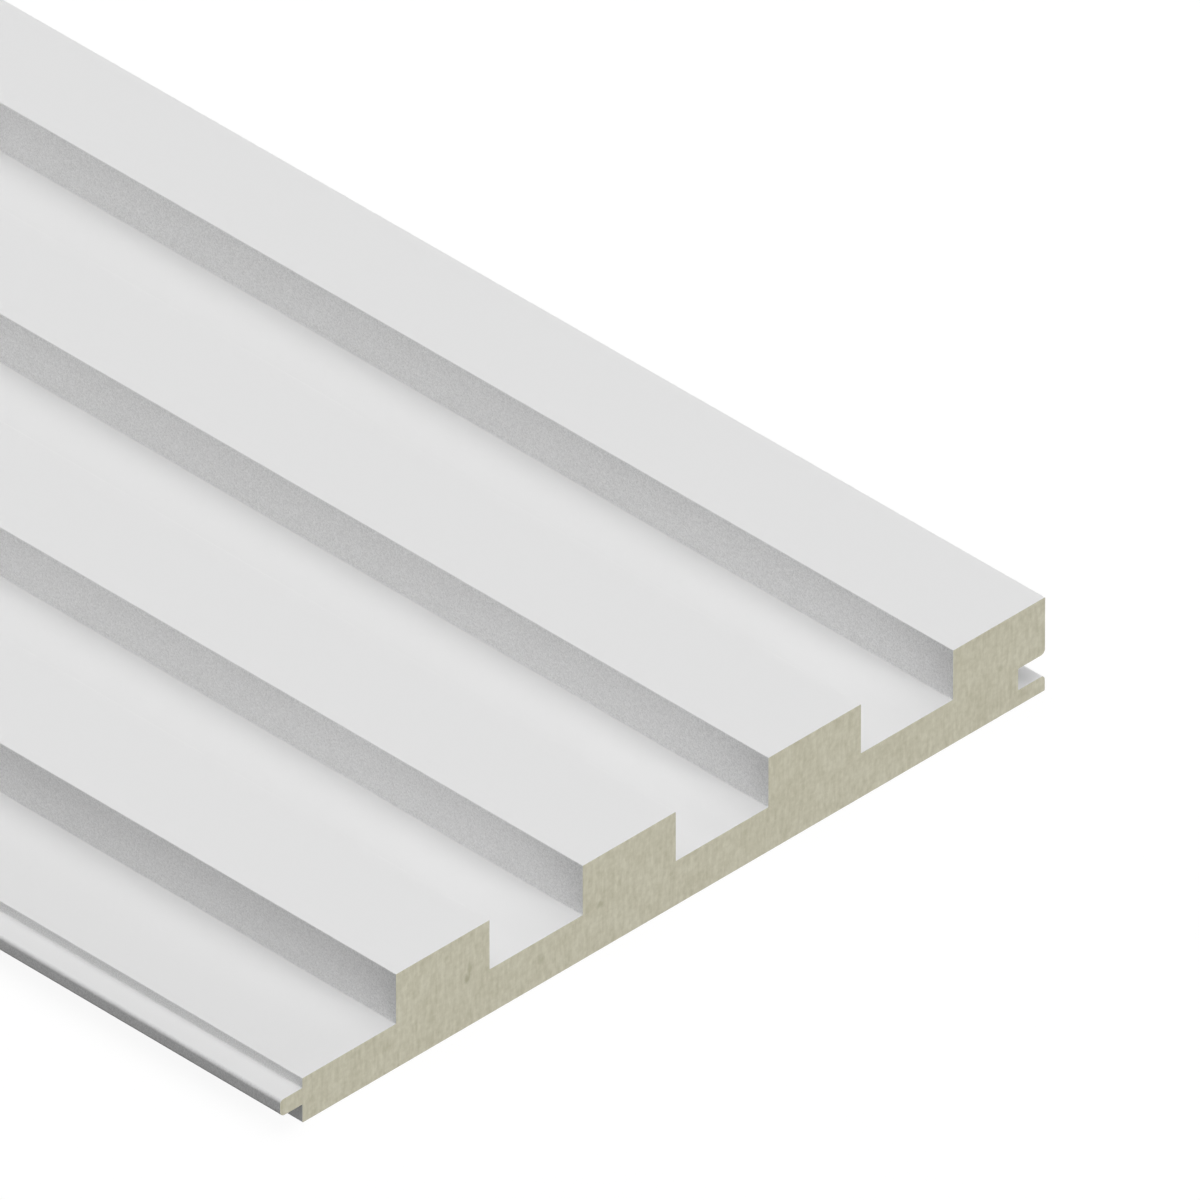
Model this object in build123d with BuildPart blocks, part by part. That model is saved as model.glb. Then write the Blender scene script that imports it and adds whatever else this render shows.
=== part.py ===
"""Slatted tongue-and-groove cladding panel, machined as one piece from an MDF board.

The section stands on its back face in the XZ plane and runs along Y.
+X goes from the tongue edge to the groove edge, and +Z out of the slatted face.
The origin is on the back face, in the middle of the cover width and of the length.
All sizes are in millimetres.
"""

import os

from build123d import *

# Board
board_length = 2440.0
board_thickness = 18.0

# Channels and slats, which alternate across the face from the tongue edge
slat_count = 4
slat_width = 20.625
channel_width = 20.625
web_thickness = 8.5  # board left under each channel

# Tongue, whose place is taken from the back face
tongue_underside = 3.5
tongue_thickness = 3.15
tongue_length = 4.9
tongue_top_radius = 0.65
tongue_underside_radius = 1.0

# Groove, which takes the tongue of the next panel
groove_side_clearance = 0.5
groove_end_clearance = 1.1
lip_edge_radius = 0.9

# Places across the section
pitch = channel_width + slat_width
cover_width = slat_count * pitch
tongue_shoulder = -cover_width / 2
groove_mouth = cover_width / 2
channel_depth = board_thickness - web_thickness

# Groove sizes, from the tongue that it takes
groove_underside = tongue_underside - groove_side_clearance
groove_width = tongue_thickness + 2 * groove_side_clearance
groove_depth = tongue_length + groove_end_clearance


with BuildPart() as panel:
    with BuildSketch(Plane.XZ) as section:
        # Board blank, standing on its back face
        with Locations((tongue_shoulder, 0)):
            Rectangle(cover_width, board_thickness, align=Align.MIN)

        # Channels cut into the face, the first one beside the tongue
        with Locations(
            *[(tongue_shoulder + n * pitch, web_thickness) for n in range(slat_count)]
        ):
            Rectangle(channel_width, channel_depth, align=Align.MIN, mode=Mode.SUBTRACT)

        # Tongue, with the edges of its tip rounded, the lower one more
        with Locations((tongue_shoulder, tongue_underside)):
            Rectangle(tongue_length, tongue_thickness, align=(Align.MAX, Align.MIN))
        tongue_tip = section.vertices().group_by(Axis.X)[0].sort_by(Axis.Y)
        fillet(tongue_tip[-1], tongue_top_radius)
        tongue_tip = section.vertices().group_by(Axis.X)[0].sort_by(Axis.Y)
        fillet(tongue_tip[0], tongue_underside_radius)

        # Groove, with the edge of each lip rounded
        with Locations((groove_mouth, groove_underside)):
            Rectangle(
                groove_depth,
                groove_width,
                align=(Align.MAX, Align.MIN),
                mode=Mode.SUBTRACT,
            )
        groove_side = section.vertices().group_by(Axis.X)[-1].sort_by(Axis.Y)
        lower_lip, upper_lip = groove_side[1:3]
        fillet([lower_lip, upper_lip], lip_edge_radius)

    extrude(amount=board_length / 2, both=True)

panel.part.label = "slatted_panel"

os.makedirs("parts", exist_ok=True)
export_step(panel.part, "parts/slatted_panel.step")
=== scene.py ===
"""Primed slatted cladding panel lying on a pale floor, seen in isometric view from its tongue side.

Lengths are in metres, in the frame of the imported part: +X from the tongue edge to the groove edge,
+Y along the panel and +Z out of the slatted face. The sawn end nearest the camera is at the least Y.
"""

import math
from itertools import accumulate

import bmesh
import bpy
from mathutils import Matrix, Vector


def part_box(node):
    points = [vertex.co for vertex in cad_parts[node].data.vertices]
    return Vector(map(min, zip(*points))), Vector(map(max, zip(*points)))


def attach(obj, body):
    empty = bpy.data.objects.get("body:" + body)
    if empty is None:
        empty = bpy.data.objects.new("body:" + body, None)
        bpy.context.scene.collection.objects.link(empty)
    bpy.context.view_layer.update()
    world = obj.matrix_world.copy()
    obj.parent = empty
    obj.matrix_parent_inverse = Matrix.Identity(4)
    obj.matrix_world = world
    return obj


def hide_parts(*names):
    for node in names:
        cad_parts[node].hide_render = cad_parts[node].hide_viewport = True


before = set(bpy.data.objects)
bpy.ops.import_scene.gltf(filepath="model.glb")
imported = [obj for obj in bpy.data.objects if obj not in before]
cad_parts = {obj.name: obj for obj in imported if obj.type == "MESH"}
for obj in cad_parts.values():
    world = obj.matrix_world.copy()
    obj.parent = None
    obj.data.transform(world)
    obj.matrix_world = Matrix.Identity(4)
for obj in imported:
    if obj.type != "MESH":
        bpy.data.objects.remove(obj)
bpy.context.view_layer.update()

MM = 0.001
PANEL_NODE = "slatted_panel"
panel_low, panel_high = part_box(PANEL_NODE)

# Reading the section: points this close are one point, and an end's normal lies this much along Y
WELD_DISTANCE = 0.001 * MM
END_FACING = 0.99

# Primer film: it rounds each arris and fills each inside corner of the section by this much
FILM_RADIUS = 0.15 * MM
FILM_SEGMENTS = 4
CORNER_TURN = math.radians(45)
SMOOTH_ANGLE = math.radians(35)

# The length is divided evenly, so that no face is a 2.4 m sliver
LENGTH_DIVISIONS = 6

# Sheet that baked textures are laid out on: the divisions in columns, above the two enlarged ends
SHEET_COLUMNS = 3
SHEET_GAP = 8 * MM

# White primer: raised fibre ends are about 0.1 mm across, drawn at 0.25 mm so that they show
PRIMER_COLOUR = "#EAEAEA"
FIBRE_END_SIZE = 0.25 * MM
FIBRE_END_CONTRAST = 0.18
STIPPLE_SIZE = 0.8 * MM
STIPPLE_RELIEF = 0.03 * MM

# Sawn MDF: streaks, mottle and clouds, and the tones at a low and at a high level of the three
STREAK_WIDTH = 0.8 * MM
STREAK_HEIGHT = 3.8 * MM
MOTTLE_SIZE = 0.9 * MM
MOTTLE_SHARE = 0.42
CLOUD_SIZE = 7 * MM
CLOUD_WEIGHT = 0.14
FIBRE_TONES = ((0.418, "#B0AC98"), (0.722, "#C4C1AF"))
SAWN_RELIEF = 0.05 * MM

# Bundles of darker fibre in the board: place across and up, width and height in mm, and depth of tone
FIBRE_BUNDLES = (
    (-46.2, 9.2, 1.7, 2.8, 0.55),
    (-45.7, 11.0, 1.2, 3.2, 0.36),
    (-29.8, 4.9, 2.2, 3.0, 0.30),
    (-16.8, 8.6, 2.2, 1.9, 0.45),
    (72.5, 9.3, 1.6, 2.0, 0.30),
)
BUNDLE_COLOUR = "#8A866E"
BUNDLE_CORE = 0.2  # share of its reach that has the full depth
BUNDLE_RAGGEDNESS = 1.2 * MM

# Camera: isometric direction, and a long lens for lines that stay parallel
VIEW_AZIMUTH = math.radians(-45)
VIEW_ELEVATION = math.asin(math.tan(math.radians(30)))
VIEW_HALF_ANGLE = math.radians(0.62)
VIEW_WIDTH = 189.23 * MM
AIM_ACROSS = 32.3 * MM
AIM_FROM_END = 49.1 * MM

# Stage
FLOOR_SIZE = 80.0
FLOOR_GAP = 0.1 * MM
FLOOR_COLOUR = "#595959"
WHITE_TO_CAMERA = 0.92


def linear(hex_colour):
    """RGBA in linear light from an sRGB hex colour."""
    parts = [int(hex_colour[i : i + 2], 16) / 255 for i in (1, 3, 5)]
    return [c / 12.92 if c <= 0.04045 else ((c + 0.055) / 1.055) ** 2.4 for c in parts] + [1.0]


def add_node(tree, kind, inputs=None, **settings):
    """Adds a node with its settings, and with a value or a link for each input given."""
    made = tree.nodes.new(kind)
    for name, value in settings.items():
        setattr(made, name, value)
    for key, value in (inputs or {}).items():
        if isinstance(value, bpy.types.NodeSocket):
            tree.links.new(value, made.inputs[key])
        else:
            made.inputs[key].default_value = value
    return made


def new_material(name):
    """An empty node material."""
    material = bpy.data.materials.new(name)
    material.use_nodes = True
    material.node_tree.nodes.clear()
    return material


def white_primer():
    """Water-based white primer, sprayed on MDF and lightly sanded.

    An even, matt white with a faint stipple. The machined walls drink the coat and stay a little
    furry, which shows as fine grain.
    """
    material = new_material("white_primer_on_mdf")
    tree = material.node_tree
    place = add_node(tree, "ShaderNodeTexCoord").outputs["Object"]
    normal = add_node(tree, "ShaderNodeNewGeometry").outputs["Normal"]
    facing = add_node(tree, "ShaderNodeSeparateXYZ", {"Vector": normal})
    on_wall = add_node(tree, "ShaderNodeMath", {0: facing.outputs["X"]}, operation="ABSOLUTE")

    # Raised fibre ends, on the walls alone
    grain = add_node(
        tree,
        "ShaderNodeTexNoise",
        {"Vector": place, "Scale": 1 / FIBRE_END_SIZE, "Detail": 2.0, "Roughness": 0.6},
    )
    grain_level = add_node(
        tree,
        "ShaderNodeMapRange",
        {
            "Value": grain.outputs["Fac"],
            "From Min": 0.25,
            "From Max": 0.75,
            "To Min": -FIBRE_END_CONTRAST,
            "To Max": FIBRE_END_CONTRAST,
        },
    )
    wall_grain = add_node(
        tree,
        "ShaderNodeMath",
        {0: grain_level.outputs["Result"], 1: on_wall.outputs["Value"], 2: 1.0},
        operation="MULTIPLY_ADD",
    )
    colour = add_node(
        tree,
        "ShaderNodeVectorMath",
        {0: linear(PRIMER_COLOUR)[:3], "Scale": wall_grain.outputs["Value"]},
        operation="SCALE",
    )

    # Spray stipple
    stipple = add_node(
        tree,
        "ShaderNodeTexNoise",
        {"Vector": place, "Scale": 1 / STIPPLE_SIZE, "Detail": 3.0, "Roughness": 0.55},
    )
    relief = add_node(
        tree,
        "ShaderNodeBump",
        {"Strength": 0.25, "Distance": STIPPLE_RELIEF, "Height": stipple.outputs["Fac"]},
    )
    gloss = add_node(
        tree,
        "ShaderNodeMapRange",
        {"Value": stipple.outputs["Fac"], "To Min": 0.66, "To Max": 0.80},
    )
    surface = add_node(
        tree,
        "ShaderNodeBsdfPrincipled",
        {
            "Base Color": colour.outputs["Vector"],
            "Roughness": gloss.outputs["Result"],
            "IOR": 1.5,
            "Normal": relief.outputs["Normal"],
        },
    )
    add_node(tree, "ShaderNodeOutputMaterial", {"Surface": surface.outputs["BSDF"]})
    return material


def sawn_mdf():
    """Moisture-resistant MDF, sawn across: green-tinted pressed fibre, bare and dull.

    Short streaks stand along the thickness, over a mottle and faint clouds, with a few darker
    bundles of fibre.
    """
    material = new_material("sawn_moisture_resistant_mdf")
    tree = material.node_tree
    place = add_node(tree, "ShaderNodeTexCoord").outputs["Object"]

    # Streaks over a mottle and clouds
    streak_place = add_node(
        tree,
        "ShaderNodeMapping",
        {"Vector": place, "Scale": (1 / STREAK_WIDTH, 1 / STREAK_WIDTH, 1 / STREAK_HEIGHT)},
    )
    streaks = add_node(
        tree,
        "ShaderNodeTexNoise",
        {"Vector": streak_place.outputs["Vector"], "Scale": 1.0, "Detail": 3.0, "Roughness": 0.6},
    )
    mottle = add_node(
        tree,
        "ShaderNodeTexNoise",
        {"Vector": place, "Scale": 1 / MOTTLE_SIZE, "Detail": 2.0},
    )
    clouds = add_node(
        tree,
        "ShaderNodeTexNoise",
        {"Vector": place, "Scale": 1 / CLOUD_SIZE, "Detail": 1.0},
    )
    grain = add_node(
        tree,
        "ShaderNodeMix",
        {"Factor": MOTTLE_SHARE, "A": streaks.outputs["Fac"], "B": mottle.outputs["Fac"]},
    )
    fibre_level = add_node(
        tree,
        "ShaderNodeMath",
        {0: clouds.outputs["Fac"], 1: CLOUD_WEIGHT, 2: grain.outputs["Result"]},
        operation="MULTIPLY_ADD",
    )
    fibre = add_node(tree, "ShaderNodeValToRGB", {"Fac": fibre_level.outputs["Value"]})
    for stop, (level, tone) in zip(fibre.color_ramp.elements, FIBRE_TONES):
        stop.position = level
        stop.color = linear(tone)

    # Bundles of fibre, with ragged outlines
    sway = add_node(
        tree,
        "ShaderNodeVectorMath",
        {0: streaks.outputs["Color"], 1: (0.5, 0.5, 0.5)},
        operation="SUBTRACT",
    )
    ragged_place = add_node(
        tree,
        "ShaderNodeVectorMath",
        {0: sway.outputs["Vector"], 1: [BUNDLE_RAGGEDNESS] * 3, 2: place},
        operation="MULTIPLY_ADD",
    )
    colour = fibre.outputs["Color"]
    for across, up, width, height, depth in FIBRE_BUNDLES:
        bundle_place = add_node(
            tree,
            "ShaderNodeMapping",
            {
                "Vector": ragged_place.outputs["Vector"],
                "Location": (-2 * across / width, 0, -2 * up / height),
                "Scale": (2 / (width * MM), 0, 2 / (height * MM)),
            },
        )
        reach = add_node(
            tree, "ShaderNodeVectorMath", {0: bundle_place.outputs["Vector"]}, operation="LENGTH"
        )
        bundle = add_node(
            tree,
            "ShaderNodeMapRange",
            {"Value": reach.outputs["Value"], "From Min": BUNDLE_CORE, "To Min": depth, "To Max": 0.0},
            interpolation_type="SMOOTHSTEP",
        )
        # The colour sockets share their names with the number sockets, so they go by their places
        colour = add_node(
            tree,
            "ShaderNodeMix",
            {0: bundle.outputs["Result"], 6: colour, 7: linear(BUNDLE_COLOUR)},
            data_type="RGBA",
        ).outputs[2]

    relief = add_node(
        tree,
        "ShaderNodeBump",
        {"Strength": 0.2, "Distance": SAWN_RELIEF, "Height": streaks.outputs["Fac"]},
    )
    dulness = add_node(
        tree,
        "ShaderNodeMapRange",
        {"Value": streaks.outputs["Fac"], "To Min": 0.84, "To Max": 0.96},
    )
    surface = add_node(
        tree,
        "ShaderNodeBsdfPrincipled",
        {
            "Base Color": colour,
            "Roughness": dulness.outputs["Result"],
            "IOR": 1.45,
            "Normal": relief.outputs["Normal"],
        },
    )
    add_node(tree, "ShaderNodeOutputMaterial", {"Surface": surface.outputs["BSDF"]})
    return material


def section_outline(node):
    """(x, z) points round the panel's section, in order, from the rim of the part's front end."""
    solid = bmesh.new()
    solid.from_mesh(node.data)
    bmesh.ops.remove_doubles(solid, verts=solid.verts, dist=WELD_DISTANCE)
    end = {face for face in solid.faces if face.normal.y < -END_FACING}
    rim = [edge for edge in solid.edges if sum(face in end for face in edge.link_faces) == 1]
    beside = {}
    for edge in rim:
        first, second = edge.verts
        beside.setdefault(first, []).append(second)
        beside.setdefault(second, []).append(first)
    at = rim[0].verts[0]
    before, ring = None, []
    while not ring or at is not rim[0].verts[0]:
        ring.append((at.co.x, at.co.z))
        step = next(vert for vert in beside[at] if vert is not before)
        before, at = at, step
    solid.free()
    points = [Vector(point) for point in ring]
    area = sum(a.cross(b) for a, b in zip(points, points[1:] + points[:1]))
    return points if area > 0 else points[::-1]


def eased(points):
    """The outline with the primer film's radius at each sharp corner."""
    made = []
    for before, corner, after in zip(points[-1:] + points, points, points[1:] + points[:1]):
        way_in = (corner - before).normalized()
        way_out = (after - corner).normalized()
        turn = way_in.angle_signed(way_out)
        if abs(turn) < CORNER_TURN:
            made.append(corner)
            continue
        reach = FILM_RADIUS * math.tan(abs(turn) / 2)
        start = corner - way_in * reach
        side = Vector((way_in.y, -way_in.x)) * math.copysign(1, turn)
        centre = start + side * FILM_RADIUS
        for step in range(FILM_SEGMENTS + 1):
            made.append(centre + Matrix.Rotation(-turn * step / FILM_SEGMENTS, 2) @ (start - centre))
    return made


def lay_out_flat(mesh, outline):
    """Adds the map for baked textures: each division of the length unrolled, and the ends enlarged."""
    strip = (panel_high.y - panel_low.y) / LENGTH_DIVISIONS
    along = [0.0, *accumulate((b - a).length for a, b in zip(outline, outline[1:] + outline[:1]))]
    sheet = SHEET_COLUMNS * strip + (SHEET_COLUMNS + 1) * SHEET_GAP
    enlarged = (sheet - 2 * SHEET_GAP) / (panel_high.x - panel_low.x)
    end_step = (panel_high.z - panel_low.z) * enlarged + SHEET_GAP
    places = []
    for end in range(2):
        for n in mesh.polygons[end].vertices:
            corner = (mesh.vertices[n].co - panel_low) * enlarged
            places.append((SHEET_GAP + corner.x, SHEET_GAP + end * end_step + corner.z))
    for row in range(LENGTH_DIVISIONS):
        left = SHEET_GAP + row % SHEET_COLUMNS * (strip + SHEET_GAP)
        right = left + strip
        foot = SHEET_GAP + 2 * end_step + row // SHEET_COLUMNS * (along[-1] + SHEET_GAP)
        for low, high in zip(along, along[1:]):
            places += [(left, foot + high), (left, foot + low), (right, foot + low), (right, foot + high)]
    flat = mesh.uv_layers.new(name="OFBake")
    for corner, place in zip(flat.data, places):
        corner.uv = Vector(place) / sheet


def panel_board(primer, mdf):
    """The panel as one closed mesh: the eased section swept along its length, with sawn ends."""
    outline = eased(section_outline(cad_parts[PANEL_NODE]))
    length = panel_high.y - panel_low.y
    stations = [panel_low.y + length * n / LENGTH_DIVISIONS for n in range(LENGTH_DIVISIONS + 1)]
    count = len(outline)
    points = [(p.x, y, p.y) for y in stations for p in outline]
    front = list(range(count))
    back = [len(points) - 1 - n for n in range(count)]
    faces = [front, back]
    for row in range(LENGTH_DIVISIONS):
        here, beyond = row * count, (row + 1) * count
        for n in range(count):
            after = (n + 1) % count
            faces.append((here + after, here + n, beyond + n, beyond + after))
    mesh = bpy.data.meshes.new("panel_board")
    mesh.from_pydata(points, [], faces)
    mesh.materials.append(primer)
    mesh.materials.append(mdf)
    # The first two faces are the sawn ends
    for face in mesh.polygons:
        face.use_smooth = True
        face.material_index = 1 if face.index < 2 else 0
    mesh.set_sharp_from_angle(angle=SMOOTH_ANGLE)
    lay_out_flat(mesh, outline)
    board = bpy.data.objects.new("panel_board", mesh)
    bpy.context.scene.collection.objects.link(board)
    flats = board.modifiers.new("flat_faces_stay_flat", "WEIGHTED_NORMAL")
    flats.keep_sharp = True
    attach(board, "root")
    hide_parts(PANEL_NODE)


def seen_directly(tree):
    """1 for what the camera sees itself, in a reflection or through glass, and 0 for lighting."""
    path = add_node(tree, "ShaderNodeLightPath")
    seen = path.outputs["Is Camera Ray"]
    for kind in ("Is Glossy Ray", "Is Transmission Ray"):
        seen = add_node(
            tree, "ShaderNodeMath", {0: seen, 1: path.outputs[kind]}, operation="MAXIMUM"
        ).outputs["Value"]
    return seen


def pale_floor():
    """A floor that the camera sees as white, with the panel's soft shadow on it."""
    material = new_material("studio_floor")
    tree = material.node_tree
    paint = add_node(tree, "ShaderNodeBsdfDiffuse", {"Color": linear(FLOOR_COLOUR)})
    glow = add_node(
        tree,
        "ShaderNodeMath",
        {0: seen_directly(tree), 1: WHITE_TO_CAMERA},
        operation="MULTIPLY",
    )
    lit = add_node(tree, "ShaderNodeEmission", {"Strength": glow.outputs["Value"]})
    both = add_node(
        tree, "ShaderNodeAddShader", {0: paint.outputs["BSDF"], 1: lit.outputs["Emission"]}
    )
    add_node(tree, "ShaderNodeOutputMaterial", {"Surface": both.outputs["Shader"]})

    mesh = bpy.data.meshes.new("studio_floor")
    half = FLOOR_SIZE / 2
    height = panel_low.z - FLOOR_GAP
    corners = [(-half, -half), (half, -half), (half, half), (-half, half)]
    mesh.from_pydata([(x, y, height) for x, y in corners], [], [(0, 1, 2, 3)])
    mesh.materials.append(material)
    floor = bpy.data.objects.new("studio_floor", mesh)
    bpy.context.scene.collection.objects.link(floor)


def studio_world():
    """White where it is seen, and no light of its own."""
    world = bpy.data.worlds.new("studio")
    world.use_nodes = True
    tree = world.node_tree
    tree.nodes.clear()
    sky = add_node(
        tree,
        "ShaderNodeBackground",
        {"Color": (1, 1, 1, 1), "Strength": seen_directly(tree)},
    )
    add_node(tree, "ShaderNodeOutputWorld", {"Surface": sky.outputs["Background"]})
    bpy.context.scene.world = world


def sun(name, towards, strength, spread, glare=False):
    """A soft, distant lamp in the direction of the vector towards, as bright as that share of white.

    Its spread is in degrees. Only a lamp with glare shows in the gloss of a surface.
    """
    lamp = bpy.data.lights.new(name, "SUN")
    lamp.energy = strength * math.pi
    lamp.angle = math.radians(spread)
    made = bpy.data.objects.new(name, lamp)
    made.rotation_mode = "QUATERNION"
    made.rotation_quaternion = Vector(towards).to_track_quat("Z", "Y")
    made.visible_glossy = glare
    bpy.context.scene.collection.objects.link(made)


def isometric_camera():
    """A camera on the tongue side of the sawn end, high up and far off."""
    lens = bpy.data.cameras.new("camera")
    lens.lens = lens.sensor_width / 2 / math.tan(VIEW_HALF_ANGLE)
    camera = bpy.data.objects.new("camera", lens)
    aim = Vector((AIM_ACROSS, panel_low.y + AIM_FROM_END, panel_high.z))
    back = Vector(
        (
            math.sin(VIEW_AZIMUTH) * math.cos(VIEW_ELEVATION),
            -math.cos(VIEW_AZIMUTH) * math.cos(VIEW_ELEVATION),
            math.sin(VIEW_ELEVATION),
        )
    )
    camera.location = aim + back * (VIEW_WIDTH / 2 / math.tan(VIEW_HALF_ANGLE))
    camera.rotation_mode = "QUATERNION"
    camera.rotation_quaternion = back.to_track_quat("Z", "Y")
    bpy.context.scene.collection.objects.link(camera)
    bpy.context.scene.camera = camera


bpy.context.scene.view_settings.view_transform = "Standard"
panel_board(white_primer(), sawn_mdf())
pale_floor()
studio_world()
sun("overhead", towards=(0, 0, 1), strength=0.516, spread=70, glare=True)
sun("front", towards=(-0.095, -1, 0.275), strength=0.92, spread=38)
sun("groove_side_fill", towards=(1, 0, 0.15), strength=0.32, spread=30)
sun("tongue_side_fill", towards=(-1, 0, 0.35), strength=0.06, spread=30)
sun("far_end_fill", towards=(0.15, 1, 0.12), strength=0.5, spread=16)
isometric_camera()
